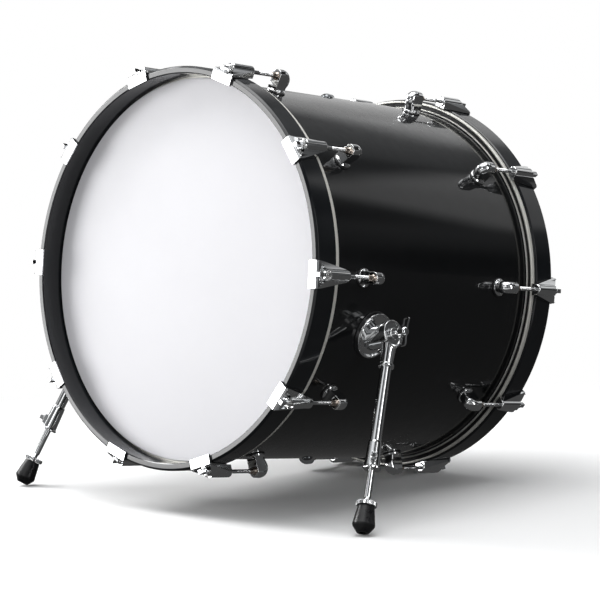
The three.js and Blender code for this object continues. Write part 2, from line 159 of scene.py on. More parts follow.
drum_axis = Vector(joints["batter_hoop_loosening"]["axis"]).normalized()
drum_low, drum_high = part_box("shell")
drum_centre = (drum_low + drum_high) / 2


def along(node, origin, direction):
    """How far a CAD node reaches along a direction from a point, in mm, as (least, most)."""
    reach = [(vertex.co - origin).dot(direction) / MM for vertex in frame["nodes"][node].data.vertices]
    return min(reach), max(reach)


DRUM_LENGTH = 2 * along("batter_hoop", drum_centre, drum_axis)[1]
DRUM = axes_at(drum_centre - drum_axis * DRUM_LENGTH / 2 * MM, X_AXIS, X_AXIS.cross(drum_axis))


def end_frame(prefix):
    """An end of the drum, with Y from the hoop's face into the drum."""
    if prefix == "resonant":
        return DRUM
    return DRUM @ Matrix.Translation((0, DRUM_LENGTH * MM, 0)) @ Matrix.Rotation(math.pi, 4, "Z")


def station_frame(end, degrees):
    return end @ Matrix.Rotation(math.radians(90 - degrees), 4, "Y")


def leg_frame(word):
    pivot = Vector(joints[word + "_spur_fold"]["pos_m"])
    outward = Vector(joints[word + "_wing_bolt_turn"]["axis"]).normalized()
    upward = Vector(joints[word + "_foot_screw"]["axis"]).normalized()
    return axes_at(pivot, outward, upward)


# ---- Mesh tools -------------------------------------------------------------------------------------

def rounded(points, radius, steps=4, closed=True):
    """An outline with its corners rounded. The radius is one number, or one for each corner."""
    radii = radius if isinstance(radius, (list, tuple)) else [radius] * len(points)
    made = []
    for i, point in enumerate(points):
        if radii[i] == 0 or (not closed and i in (0, len(points) - 1)):
            made.append(tuple(point))
            continue
        corner = Vector(point)
        before = Vector(points[i - 1]) - corner
        after = Vector(points[(i + 1) % len(points)]) - corner
        half = before.angle(after) / 2
        reach = min(radii[i] / math.tan(half), before.length * 0.48, after.length * 0.48)
        before.normalize()
        after.normalize()
        centre = corner + (before + after).normalized() * (reach / math.cos(half))
        start = corner + before * reach - centre
        sweep = start.angle_signed(corner + after * reach - centre)
        for k in range(steps + 1):
            turned_by = Matrix.Rotation(-sweep * k / steps, 2)
            made.append(tuple(centre + turned_by @ start))
    return made


def arc(centre, radius, start, end, steps):
    """Points on an arc, in degrees."""
    points = []
    for i in range(steps + 1):
        angle = math.radians(start + (end - start) * i / steps)
        points.append((centre[0] + radius * math.cos(angle), centre[1] + radius * math.sin(angle)))
    return points


def mirrored(half):
    """The right half of an outline with its mirror image."""
    return list(half) + [(-a, b) for a, b in reversed(half)]


def mesh_of(name, points, faces):
    """A mesh from points in mm, with its faces turned outwards."""
    mesh = bpy.data.meshes.new(name)
    mesh.from_pydata([tuple(Vector(point) * MM) for point in points], [], faces)
    shape = bmesh.new()
    shape.from_mesh(mesh)
    bmesh.ops.recalc_face_normals(shape, faces=shape.faces)
    shape.to_mesh(mesh)
    shape.free()
    return mesh


def placed(axis, across, height, angle):
    """A point turned about an axis: across from it, height along it."""
    a, b = across * math.cos(angle), across * math.sin(angle)
    return {"X": (height, a, b), "Y": (a, height, b), "Z": (a, b, height)}[axis]


def turned(name, profile, axis="Z", sides=64, closed=True, offset=(0, 0, 0), wobble=None):
    """A solid of revolution from a profile of (radius, height). An open profile starts and ends on the axis.
    wobble gives what to add to a point's radius from its radius, height and angle."""
    points, rings = [], []
    shift = Vector(offset)
    for radius, height in profile:
        if radius < 1e-6:
            rings.append([len(points)])
            points.append(Vector(placed(axis, 0, height, 0)) + shift)
            continue
        rings.append(list(range(len(points), len(points) + sides)))
        for k in range(sides):
            angle = 2 * math.pi * k / sides
            across = radius + (wobble(radius, height, angle) if wobble else 0)
            points.append(Vector(placed(axis, across, height, angle)) + shift)
    faces = []
    pairs = list(zip(rings, rings[1:])) + ([(rings[-1], rings[0])] if closed else [])
    for one, two in pairs:
        for k in range(sides):
            n = (k + 1) % sides
            quad = [one[k % len(one)], one[n % len(one)], two[n % len(two)], two[k % len(two)]]
            face = list(dict.fromkeys(quad))
            if len(face) > 2:
                faces.append(face)
    return mesh_of(name, points, faces)


def prism(name, outline, low, high, axis):
    """An outline drawn in the plane across an axis, extruded along it.
    The outline's pairs are (y, z) across X, (x, z) across Y and (x, y) across Z."""
    def put(pair, height):
        a, b = pair
        return {"X": (height, a, b), "Y": (a, height, b), "Z": (a, b, height)}[axis]

    count = len(outline)
    points = [put(pair, low) for pair in outline] + [put(pair, high) for pair in outline]
    faces = [list(range(count)), list(range(count, 2 * count))]
    for k in range(count):
        n = (k + 1) % count
        faces.append([k, n, n + count, k + count])
    return mesh_of(name, points, faces)


def block(name, x, y, z):
    return prism(name, [(x[0], y[0]), (x[1], y[0]), (x[1], y[1]), (x[0], y[1])], z[0], z[1], "Z")


def pin(name, radius, low, high, axis, sides=32, offset=(0, 0, 0)):
    return turned(name, [(0, low), (radius, low), (radius, high), (0, high)], axis, sides, False, offset)


def evaluated(mesh, modifiers):
    """The mesh after a list of modifiers, each a type and its settings."""
    helper = bpy.data.objects.new("helper", mesh)
    bpy.context.scene.collection.objects.link(helper)
    for kind, settings in modifiers:
        modifier = helper.modifiers.new(kind.lower(), kind)
        for key, value in settings.items():
            setattr(modifier, key, value)
    bpy.context.view_layer.update()
    graph = bpy.context.evaluated_depsgraph_get()
    made = bpy.data.meshes.new_from_object(helper.evaluated_get(graph))
    bpy.data.objects.remove(helper)
    return made


def combined(base, operation, *others):
    """Joins or cuts meshes one after another."""
    for other in others:
        tool = bpy.data.objects.new("tool", other)
        bpy.context.scene.collection.objects.link(tool)
        base = evaluated(base, [("BOOLEAN", {"operation": operation, "solver": "EXACT", "object": tool})])
        bpy.data.objects.remove(tool)
    return base


def eased(mesh, width=0.5, segments=3, degrees=28):
    """The mesh with its sharp edges rounded, as a casting's are."""
    settings = {
        "width": width * MM,
        "segments": segments,
        "limit_method": "ANGLE",
        "angle_limit": math.radians(degrees),
        "miter_outer": "MITER_ARC",
        "use_clamp_overlap": True,
    }
    return evaluated(mesh, [("BEVEL", settings)])


def shaded(mesh, degrees=38):
    """Smooth shading, with flat faces kept flat to their edges."""
    mesh.shade_smooth()
    mesh.set_sharp_from_angle(angle=math.radians(degrees))
    return evaluated(mesh, [("WEIGHTED_NORMAL", {"keep_sharp": True, "weight": 80})])


def piece(name, mesh, place, body, material, nodes):
    """A named object in the row frame that rides on a body and stands for CAD nodes."""
    made = bpy.data.objects.new(name, mesh)
    made.matrix_world = place
    bpy.context.scene.collection.objects.link(made)
    if not mesh.materials:
        mesh.materials.append(material)
    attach(made, body)
    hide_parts(*nodes)
    return made


# ---- Materials --------------------------------------------------------------------------------------

class Finish:
    """A procedural material with one Principled shader, and textures in the object's own coordinates."""

    def __init__(self, name, **constants):
        self.material = bpy.data.materials.new(name)
        self.material.use_nodes = True
        self.nodes = self.material.node_tree.nodes
        self.links = self.material.node_tree.links
        self.shader = self.nodes["Principled BSDF"]
        self.place = self.nodes.new("ShaderNodeTexCoord").outputs["Object"]
        self.bumps = None
        for key, value in constants.items():
            self.shader.inputs[key.replace("_", " ").title().replace("Ior", "IOR")].default_value = value

    def noise(self, scale, detail=3.0, roughness=0.5, stretch=None):
        place = self.place
        if stretch:
            mapping = self.nodes.new("ShaderNodeMapping")
            mapping.inputs["Scale"].default_value = stretch
            self.links.new(place, mapping.inputs["Vector"])
            place = mapping.outputs["Vector"]
        texture = self.nodes.new("ShaderNodeTexNoise")
        texture.inputs["Scale"].default_value = scale
        texture.inputs["Detail"].default_value = detail
        texture.inputs["Roughness"].default_value = roughness
        self.links.new(place, texture.inputs["Vector"])
        return texture.outputs["Fac"]

    def between(self, factor, low, high, start=0.3, end=0.7):
        """A number that goes from low to high as a factor goes from start to end."""
        spread = self.nodes.new("ShaderNodeMapRange")
        for key, value in (("From Min", start), ("From Max", end), ("To Min", low), ("To Max", high)):
            spread.inputs[key].default_value = value
        self.links.new(factor, spread.inputs["Value"])
        return spread.outputs["Result"]

    def colours(self, factor, *stops):
        """A colour from stops of (place, colour)."""
        ramp = self.nodes.new("ShaderNodeValToRGB")
        elements = ramp.color_ramp.elements
        while len(elements) < len(stops):
            elements.new(0.5)
        for element, (place, colour) in zip(elements, stops):
            element.position = place
            element.color = (*colour, 1)
        self.links.new(factor, ramp.inputs["Fac"])
        return ramp.outputs["Color"]

    def bump(self, height, distance, strength=1.0):
        node = self.nodes.new("ShaderNodeBump")
        node.inputs["Strength"].default_value = strength
        node.inputs["Distance"].default_value = distance * MM
        self.links.new(height, node.inputs["Height"])
        if self.bumps:
            self.links.new(self.bumps, node.inputs["Normal"])
        self.bumps = node.outputs["Normal"]
        self.links.new(self.bumps, self.shader.inputs["Normal"])

    def set(self, socket, value):
        self.links.new(value, self.shader.inputs[socket])


def lacquer(name, dark, light, rough, coat, peel):
    """Black lacquer over wood: a clear coat with a faint peel, and dust and polishing haze under it."""
    finish = Finish(name, coat_weight=coat, coat_roughness=0.025, specular_ior_level=0.12)
    haze = finish.noise(9, 5, 0.6)
    finish.set("Base Color", finish.colours(haze, (0.35, dark), (0.7, light)))
    finish.set("Roughness", finish.between(finish.noise(40, 6, 0.65), rough, rough + 0.14))
    finish.bump(finish.noise(160, 2, 0.4), peel)
    finish.bump(finish.noise(1400, 2, 0.5), peel * 0.15)
    return finish.material


def drum_film(name, low, high, rough, grain):
    """A polyester film: faint clouding, and a grain that a coated head has and a smooth one hardly shows."""
    finish = Finish(name, specular_ior_level=0.35)
    finish.set("Base Color", finish.colours(finish.noise(5, 4, 0.55), (0.3, low), (0.7, high)))
    finish.set("Roughness", finish.between(finish.noise(60, 4, 0.6), rough, rough + 0.12))
    finish.bump(finish.noise(2.2, 2, 0.4), 0.25)
    finish.bump(finish.noise(900, 3, 0.6), grain)
    return finish.material


def plated(name, dark, light, rough, bump=0.004, metallic=1.0):
    """Plated metal: slightly wavy under its polish, with haze and fine rubbing marks."""
    finish = Finish(name, metallic=metallic)
    smear = finish.noise(35, 5, 0.6)
    finish.set("Base Color", finish.colours(smear, (0.25, dark), (0.65, light)))
    marks = finish.noise(260, 4, 0.7, stretch=(1, 9, 1))
    finish.set("Roughness", finish.between(marks, rough, rough + 0.1, 0.35, 0.75))
    finish.bump(finish.noise(90, 2, 0.4), bump * 4)
    finish.bump(marks, bump)
    return finish.material


def moulded_rubber(name, rough, grain):
    """Black rubber with a moulded skin and a little grey dust."""
    finish = Finish(name, specular_ior_level=0.5)
    dust = finish.noise(55, 6, 0.7)
    finish.set("Base Color", finish.colours(dust, (0.45, (0.008, 0.008, 0.009)), (0.8, (0.03, 0.03, 0.031))))
    finish.set("Roughness", finish.between(dust, rough, rough + 0.25, 0.4, 0.8))
    finish.bump(finish.noise(700, 3, 0.6), grain)
    return finish.material


def maple():
    """The shell's bare inside: long grain round the drum with fine pores."""
    finish = Finish("maple_inside", specular_ior_level=0.3)
    grain = finish.noise(14, 6, 0.65, stretch=(1, 12, 1))
    finish.set("Base Color", finish.colours(grain, (0.3, (0.42, 0.27, 0.14)), (0.7, (0.62, 0.45, 0.27))))
    finish.set("Roughness", finish.between(grain, 0.45, 0.65))
    finish.bump(grain, 0.08)
    return finish.material


SHELL_FINISH = lacquer(
    "black_gloss_lacquer", (0.0030, 0.0034, 0.0040), (0.0045, 0.0050, 0.0058), 0.3, 1.0, 0.010,
)
HOOP_FINISH = lacquer(
    "black_hoop_lacquer", (0.0040, 0.0050, 0.0066), (0.0064, 0.0078, 0.0098), 0.34, 0.9, 0.006,
)
FRONT_FILM = drum_film("white_film", (0.845, 0.84, 0.872), (0.872, 0.867, 0.9), 0.36, 0.004)
REAR_FILM = drum_film("coated_film", (0.76, 0.76, 0.755), (0.81, 0.81, 0.805), 0.6, 0.03)
CHROME = plated("chrome", (0.78, 0.79, 0.8), (0.88, 0.885, 0.89), 0.03)
BLACK_CHROME = plated("black_chrome", (0.16, 0.17, 0.18), (0.24, 0.25, 0.26), 0.12)
STEEL = plated("zinc_steel", (0.5, 0.5, 0.5), (0.72, 0.72, 0.71), 0.16, 0.008)
RING_METAL = plated("ring_aluminium", (0.72, 0.71, 0.66), (0.84, 0.83, 0.78), 0.38, 0.006, 0.35)
COPPERY = plated("coppery_brass", (0.42, 0.35, 0.3), (0.72, 0.62, 0.54), 0.16, 0.008)
GASKET = moulded_rubber("gasket_rubber", 0.5, 0.02)
FOOT_RUBBER = moulded_rubber("foot_rubber", 0.24, 0.012)
MAPLE = maple()

# ---- Shell, heads and hoops -------------------------------------------------------------------------


def make_shell():
    inner = SHELL_RADIUS - SHELL_WALL
    front, rear = HEAD_RECESS + 0.3, DRUM_LENGTH - HEAD_RECESS - 0.3
    profile = [
        (inner, front + 5), (inner + 5, front), (SHELL_RADIUS, front),
        (SHELL_RADIUS, rear), (inner + 5, rear), (inner, rear - 5),
    ]
    mesh = turned("shell_mesh", rounded(profile, [0, 0.4, 1.2, 1.2, 0.4, 0], 3), "Y", 288)
    mesh.materials.append(SHELL_FINISH)
    mesh.materials.append(MAPLE)
    for face in mesh.polygons:
        across = math.hypot(face.center.x, face.center.z) / MM
        if across < SHELL_RADIUS - 2.5:
            face.material_index = 1
    piece("shell_body", shaded(mesh), DRUM, "root", SHELL_FINISH, ["shell"])


def make_end(prefix, film):
    end = end_frame(prefix)
    inside = HOOP_RADIUS - HOOP_WALL
    hoop = rounded(
        [(inside, 1.4), (inside + 1.4, 0), (HOOP_RADIUS - 3, 0), (HOOP_RADIUS, 3),
         (HOOP_RADIUS, HOOP_DEPTH - 2), (HOOP_RADIUS - 2, HOOP_DEPTH), (inside, HOOP_DEPTH)],
        [0.7, 0.7, 0.9, 1.4, 1.0, 1.0, 0.8], 4,
    )
    body = prefix + "_hoop"
    mesh = shaded(turned(prefix + "_hoop_mesh", hoop, "Y", 288))
    piece(prefix + "_wood_hoop", mesh, end, body, HOOP_FINISH, [body])

    # The film is flat to the bearing edge, rolls over a low collar and runs down into the ring.
    face, edge = HEAD_RECESS - FILM, RING_REAR - 1
    within = COLLAR_RADIUS - FILM
    outer = [(0, face), (COLLAR_RADIUS - 0.2, face), (COLLAR_RADIUS, edge)]
    inner = [(within, edge), (COLLAR_RADIUS - FILM - 0.2, HEAD_RECESS), (0, HEAD_RECESS)]
    profile = rounded(outer + inner, [0, 1.3, 0, 0, 0.8, 0], 5, closed=False)
    mesh = shaded(turned(prefix + "_film_mesh", profile, "Y", 288, closed=False))
    head = prefix + "_head"
    piece(prefix + "_film", mesh, end, "root", film, [head])
    make_flesh_ring(prefix, end, head)


def make_flesh_ring(prefix, end, head):
    """An aluminium channel that is open towards the shell, with the film's edge set in it and a dark filling
    recessed inside it.
    """
    inner = COLLAR_RADIUS + 0.1
    ring = rounded([
        (inner, RING_FRONT), (RING_RADIUS, RING_FRONT),
        (RING_RADIUS, RING_REAR), (RING_RADIUS - 3, RING_REAR),
        (RING_RADIUS - 3, RING_FRONT + 2.5), (inner + 1.2, RING_FRONT + 2.5),
        (inner + 1.2, RING_REAR - 1.4), (inner, RING_REAR - 1.4),
    ], [0.5, 1.2, 1.2, 0.7, 0, 0, 0.3, 0.3], 4)
    mesh = shaded(turned(prefix + "_flesh_ring_mesh", ring, "Y", 288))
    piece(prefix + "_flesh_ring", mesh, end, "root", RING_METAL, [head])
    # A dark filling in black rubber, recessed below the channel's mouth, makes the channel's inside dark.
    dark_filling = rounded([
        (inner + 1.4, RING_FRONT + 2.7), (RING_RADIUS - 3.2, RING_FRONT + 2.7),
        (RING_RADIUS - 3.2, RING_REAR - 2.2), (inner + 1.4, RING_REAR - 2.8),
    ], 0.3, 2)
    mesh = shaded(turned(prefix + "_resin_mesh", dark_filling, "Y", 288))
    piece(prefix + "_flesh_ring_resin", mesh, end, "root", GASKET, [head])


# ---- Lugs, claws and rods, in a station's frame -----------------------------------------------------

def thread(radius, depth, pitch, low, high, axis, sides=20, offset=(0, 0, 0)):
    """A rod with a real helical thread between two heights."""
    steps = int((high - low) / pitch * 6)
    heights = [low + (high - low) * k / steps for k in range(steps + 1)]
    profile = [(0, low)] + [(radius, height) for height in heights] + [(0, high)]

    def groove(_radius, height, angle):
        phase = (height / pitch - angle / (2 * math.pi)) % 1
        return -depth * abs(2 * phase - 1)

    return turned("thread", profile, axis, sides, False, offset, groove)


def claw_mesh():
    at_rod = (0, 0, ROD_CIRCLE)
    section = mirrored([
        (CLAW_HALF, CLAW_UNDER), (CLAW_HALF, CLAW_DECK),
        (CLAW_TAIL + 1, CLAW_ROOF - 1.2), (CLAW_TAIL - 3, CLAW_ROOF),
    ])
    plan = mirrored([(CLAW_HALF, CLAW_FRONT), (CLAW_HALF, 3), (CLAW_TAIL, CLAW_LENGTH)])
    body = prism("claw", section, CLAW_FRONT, CLAW_LENGTH, "Y")
    body = combined(body, "INTERSECT", prism("plan", plan, CLAW_UNDER - 1, CLAW_ROOF + 5, "Z"))
    boss_end = CLAW_LENGTH + 2
    boss = [(0, 9), (CLAW_BOSS, 9), (CLAW_BOSS, boss_end), (0, boss_end)]
    boss = rounded(boss, [0, 0, 2.2, 0], 5, closed=False)
    boss = turned("boss", boss, "Y", 40, False, at_rod)
    lip_edge = HOOP_RADIUS - HOOP_WALL - 1.5
    lip = block("lip", (-CLAW_HALF, CLAW_HALF), (CLAW_FRONT, -0.3), (lip_edge, CLAW_DECK))
    body = combined(body, "UNION", boss, lip)
    # The pocket for the key head is a V in plan, with a flat seat for the washer.
    mouth = CLAW_HALF - 2.2
    floor, sky = CLAW_DECK + 0.6, CLAW_ROOF + 9
    wedge = [(mouth, -0.6), (3.5, POCKET_SEAT), (-3.5, POCKET_SEAT), (-mouth, -0.6)]
    pocket = prism("pocket", wedge, floor, sky, "Z")
    ahead = block("ahead", (-mouth, mouth), (CLAW_FRONT - 1, -0.5), (floor, sky))
    beyond = CLAW_HALF + 1
    hoop_space = block("space", (-beyond, beyond), (-0.3, HOOP_DEPTH + 0.4), (HOOP_RADIUS - 25, CLAW_UNDER))
    bore = pin("bore", ROD_RADIUS + 0.3, 5, 60, "Y", 24, at_rod)
    chamfer = [(CLAW_FRONT - 1, CLAW_DECK - 4), (-1.6, CLAW_DECK + 0.7), (CLAW_FRONT - 1, CLAW_DECK + 2)]
    step = prism("step", chamfer, -beyond, beyond, "X")
    body = combined(body, "DIFFERENCE", pocket, ahead, hoop_space, bore, step)
    return shaded(eased(body, 0.8, 3))


def claw_gasket_mesh():
    half = CLAW_HALF + 0.8
    outline = [
        (-0.28, HOOP_RADIUS - HOOP_WALL - 2.1), (-0.04, HOOP_RADIUS - HOOP_WALL - 2.1),
        (-0.04, HOOP_RADIUS + 0.06), (HOOP_DEPTH - 1, HOOP_RADIUS + 0.06),
        (HOOP_DEPTH - 1, CLAW_UNDER - 0.05), (-0.28, CLAW_UNDER - 0.05),
    ]
    mesh = prism("claw_gasket", outline, -half, half, "X")
    taper = bmesh.new()
    taper.from_mesh(mesh)
    for vertex in taper.verts:
        share = max(0.0, vertex.co.y / MM - 3) / (CLAW_LENGTH - 3)
        vertex.co.x *= 1 - share * (1 - (CLAW_TAIL + 0.8) / half)
    taper.to_mesh(mesh)
    taper.free()
    return shaded(mesh, 30)


def rod_mesh():
    at_rod = (0, 0, ROD_CIRCLE)
    collar = [(0, 4), (5.4, 4), (5.4, 5.6), (3.2, 7.2), (0, 7.2)]
    collar = rounded(collar, [0, 0.4, 0.5, 0, 0], 3, closed=False)
    head = block("key", (-KEY_HALF, KEY_HALF), (-7, 4.5), (ROD_CIRCLE - KEY_HALF, ROD_CIRCLE + KEY_HALF))
    shank = pin("shank", ROD_RADIUS, 6.5, THREAD_START + 0.4, "Y", 28, at_rod)
    whole = combined(eased(head, 0.55), "UNION", turned("collar", collar, "Y", 32, False, at_rod), shank)
    screw = thread(ROD_RADIUS + 0.05, THREAD_DEPTH, THREAD_PITCH, THREAD_START, ROD_END, "Y", 16, at_rod)
    return joined("tension_rod", shaded(whole), shaded(screw, 75))


def joined(name, *meshes):
    """Several meshes as one, each with its own shading."""
    shape = bmesh.new()
    for mesh in meshes:
        shape.from_mesh(mesh)
    made = bpy.data.meshes.new(name)
    shape.to_mesh(made)
    shape.free()
    return made


def washer_mesh():
    profile = rounded([(ROD_RADIUS + 0.2, 7.4), (6.2, 7.4), (6.2, 11.2), (ROD_RADIUS + 0.2, 11.2)], 0.35, 3)
    return shaded(turned("washer", profile, "Y", 36, True, (0, 0, ROD_CIRCLE)))


def cushioned(name, outline, half, radius, steps=5):
    """An outline in the plane across X, from -half to half, with its two long edges rounded over."""
    corners = [Vector(pair) for pair in outline]
    count = len(corners)
    turning = sum(corners[i - 1].cross(corners[i]) for i in range(count))
    inward = []
    for i, corner in enumerate(corners):
        one = (corner - corners[i - 1]).normalized()
        two = (corners[(i + 1) % count] - corner).normalized()
        normal = Vector((-(one.y + two.y), one.x + two.x)) * math.copysign(1, turning)
        inward.append(normal * (2 / normal.length_squared))
    ease = [math.pi / 2 * k / steps for k in range(steps + 1)]
    right = [(half - radius + radius * math.sin(a), radius * (1 - math.cos(a))) for a in ease]
    layers = [(-x, inset) for x, inset in reversed(right)] + right
    points = [(x, *(corner + way * inset)) for x, inset in layers for corner, way in zip(corners, inward)]
    faces = [list(range(count)), list(range(len(points) - count, len(points)))]
    for layer in range(len(layers) - 1):
        for i in range(count):
            n = (i + 1) % count
            low, high = layer * count, (layer + 1) * count
            faces.append([low + i, low + n, high + n, high + i])
    return mesh_of(name, points, faces)


def lug_mesh():
    """A round base under a hood shaped like a thumb, cut off in front by its throat and its mouth."""
    foot = LUG_FOOT
    ahead = LUG_PLACE - 30
    back = arc((LUG_MOUTH + 9.6, foot + 17.6), 15.8, 100, -38, 24)
    thumb = [(ahead, foot - 9), (ahead, foot + 32.2)] + back + [(LUG_PLACE + 9, foot - 9)]
    hood = cushioned("hood", thumb, LUG_HALF, 8.0, 8)
    front = [
        (ahead - 5, foot - 12), (LUG_PLACE - 10.4, foot - 12),
        (LUG_PLACE - 10.4, foot + 9), (LUG_PLACE - 9.6, foot + 13),
        (LUG_MOUTH - 2.2, foot + 17), (LUG_MOUTH - 1.4, foot + 18.6),
        (LUG_MOUTH + 1.4, foot + 40), (ahead - 5, foot + 40),
    ]
    hood = combined(hood, "DIFFERENCE", prism("front", front, -20, 20, "X"))
    hood = combined(hood, "DIFFERENCE", block("below", (-20, 20), (60, 160), (foot - 30, foot + 1)))
    hood = eased(hood, 0.6, 3, 50)
    base = rounded([
        (0, foot - 0.2), (LUG_BASE, foot - 0.2), (LUG_BASE, foot + 2.2), (10.2, foot + 4.8), (0, foot + 4.8),
    ], [0, 0, 1.2, 2, 0], 5, closed=False)
    base = turned("base", base, "Z", 64, False, (0, LUG_PLACE, 0))
    # The mouth is a round hollow about the nut.
    hollow = rounded([
        (0, LUG_MOUTH - 12), (6.2, LUG_MOUTH - 12), (6.2, LUG_MOUTH + 10), (0, LUG_MOUTH + 11),
    ], [0, 0, 2.5, 0], 4, closed=False)
    hollow = turned("hollow", hollow, "Y", 40, False, (0, 0, ROD_CIRCLE))
    return shaded(combined(combined(hood, "UNION", base), "DIFFERENCE", hollow), 35)


def lug_gasket_mesh():
    """A thin disc, bent to the shell's curve under the lug's base."""
    edge, low, high = LUG_BASE + 0.9, LUG_FOOT - 1.3, LUG_FOOT - 0.1
    profile = rounded([(0, low), (edge, low), (edge, high), (0, high)], [0, 0.2, 0.5, 0], 3, closed=False)
    mesh = turned("lug_gasket", profile, "Z", 56, False, (0, LUG_PLACE, 0))
    for vertex in mesh.vertices:
        if vertex.co.z < (LUG_FOOT - 1.0) * MM:
            vertex.co.z -= (SHELL_RADIUS - math.sqrt(SHELL_RADIUS**2 - (vertex.co.x / MM) ** 2)) * MM
    return shaded(mesh)


def nut_mesh():
    """A swivel nut: a slim tapered barrel that shows ahead of the lug's mouth, and a flange inside it."""
    bore = ROD_RADIUS + 0.3
    profile = rounded([
        (bore, LUG_MOUTH - 10), (3.9, LUG_MOUTH - 10), (4.5, LUG_MOUTH - 2), (5.6, LUG_MOUTH),
        (5.6, LUG_MOUTH + 4), (4.6, LUG_MOUTH + 8), (bore, LUG_MOUTH + 8),
    ], 0.35, 3)
    return shaded(turned("swivel_nut", profile, "Y", 64, True, (0, 0, ROD_CIRCLE)))


def make_stations(prefix, meshes):
    end = end_frame(prefix)
    hoop = prefix + "_hoop"
    for i in range(STATIONS):
        place = station_frame(end, 360 / STATIONS * i)
        number = f"{i + 1:02d}"
        claw_node = [f"{prefix}_claw_and_rod_{number}"]
        lug_node = [f"{prefix}_lug_{number}"]
        for word, body, slot, material, nodes in (
            ("claw", hoop, "chrome_hardware", CHROME, claw_node),
            ("claw_gasket", hoop, "rubber", GASKET, claw_node),
            ("tension_rod", hoop, "chrome_hardware", CHROME, claw_node),
            ("rod_washer", hoop, "chrome_hardware", STEEL, claw_node),
            ("lug_casting", "root", "chrome_hardware", CHROME, lug_node),
            ("lug_gasket", "root", "rubber", GASKET, lug_node),
            ("swivel_nut", "root", "swivel_nut", COPPERY, lug_node),
        ):
            piece(f"{prefix}_{word}_{number}", meshes[word], place, body, material, nodes)


# ---- Vents ------------------------------------------------------------------------------------------

def make_vents():
    """Two grommets half way along the shell, one high and one low, each with a dark disc in its bore as
    painted shade for the hole through the shell.
    """
    foot = SHELL_RADIUS - 0.2
    profile = rounded([
        (2.8, foot - 1), (8.2, foot - 1), (8.2, foot + 1.4), (4.6, foot + 4), (2.8, foot + 4),
    ], [0, 0, 1.0, 1.6, 0.5], 4)
    dome = shaded(turned("vent", profile, "Z", 48))
    # A dark disc in the grommet's bore: painted shade where the hole through the shell would be.
    bore = shaded(pin("vent_painted_hole", 2.9, foot, foot + 1, "Z"))
    middle = DRUM @ Matrix.Translation((0, DRUM_LENGTH / 2 * MM, 0))
    for word, degrees in (("upper", 80), ("lower", -80)):
        place = station_frame(middle, degrees)
        piece(word + "_vent_grommet", dome, place, "root", BLACK_CHROME, ["air_vent"])
        piece(word + "_vent_painted_hole", bore, place, "root", GASKET, ["air_vent"])


# ---- Spurs ------------------------------------------------------------------------------------------

def bracket_mesh(side, leg):
    """The flange and its raised rim on the shell, joined to the barrel on the pivot, in the drum's frame."""
    top = SHELL_RADIUS + 3.0
    rim = SHELL_RADIUS + 7.6
    inside = BRACKET_RADIUS - 2.6
    profile = rounded([
        (0, SHELL_RADIUS - 6), (BRACKET_RADIUS, SHELL_RADIUS - 6), (BRACKET_RADIUS, rim), (inside, rim),
        (inside - 2, top + 0.6), (inside - 7, top), (14, top + 1.5), (0, top + 1.5),
    ], [0, 0, 1.2, 1.0, 1.8, 2, 4, 0], 5, closed=False)
    flange = turned("flange", profile, "Z", 96, False)
    radial = Vector((side * math.cos(BRACKET_ANGLE), 0, math.sin(BRACKET_ANGLE)))
    pivot = DRUM.inverted() @ leg.translation
    flange.transform(axes_at(Vector((0, pivot.y, 0)), Y_AXIS.cross(radial), radial))
    barrel_end = EYE_INNER - 0.4
    barrel = rounded([(0, barrel_end - 32), (17, barrel_end - 32), (17, barrel_end), (0, barrel_end)],
                     [0, 0, 1.4, 0], 5, closed=False)
    barrel = turned("barrel", barrel, "X", 72, False)
    barrel.transform(DRUM.inverted() @ leg)
    whole = combined(flange, "UNION", barrel)
    reach = 2 * BRACKET_RADIUS
    core = pin("core", SHELL_RADIUS + 1.2, pivot.y / MM - reach, pivot.y / MM + reach, "Y", 288)
    hole = pin("hole", BOLT_RADIUS + 0.6, barrel_end - 22, barrel_end + 2, "X", 32)
    hole.transform(DRUM.inverted() @ leg)
    return shaded(eased(combined(whole, "DIFFERENCE", core, hole), 0.5, 3, 40), 42)


def bracket_gasket_mesh(side, leg):
    """A rubber sheet between the flange and the shell, cut round a little larger than the flange."""
    radial = Vector((side * math.cos(BRACKET_ANGLE), 0, math.sin(BRACKET_ANGLE)))
    pivot = DRUM.inverted() @ leg.translation
    disc = pin("disc", BRACKET_RADIUS + 1.1, SHELL_RADIUS - 10, SHELL_RADIUS + 3, "Z", 96)
    disc.transform(axes_at(Vector((0, pivot.y, 0)), Y_AXIS.cross(radial), radial))
    reach = 2 * BRACKET_RADIUS
    low, high = pivot.y / MM - reach, pivot.y / MM + reach
    under, over = SHELL_RADIUS + 0.05, SHELL_RADIUS + 1.1
    sleeve = [(under, low), (over, low), (over, high), (under, high)]
    return shaded(combined(disc, "INTERSECT", turned("sleeve", sleeve, "Y", 288)))


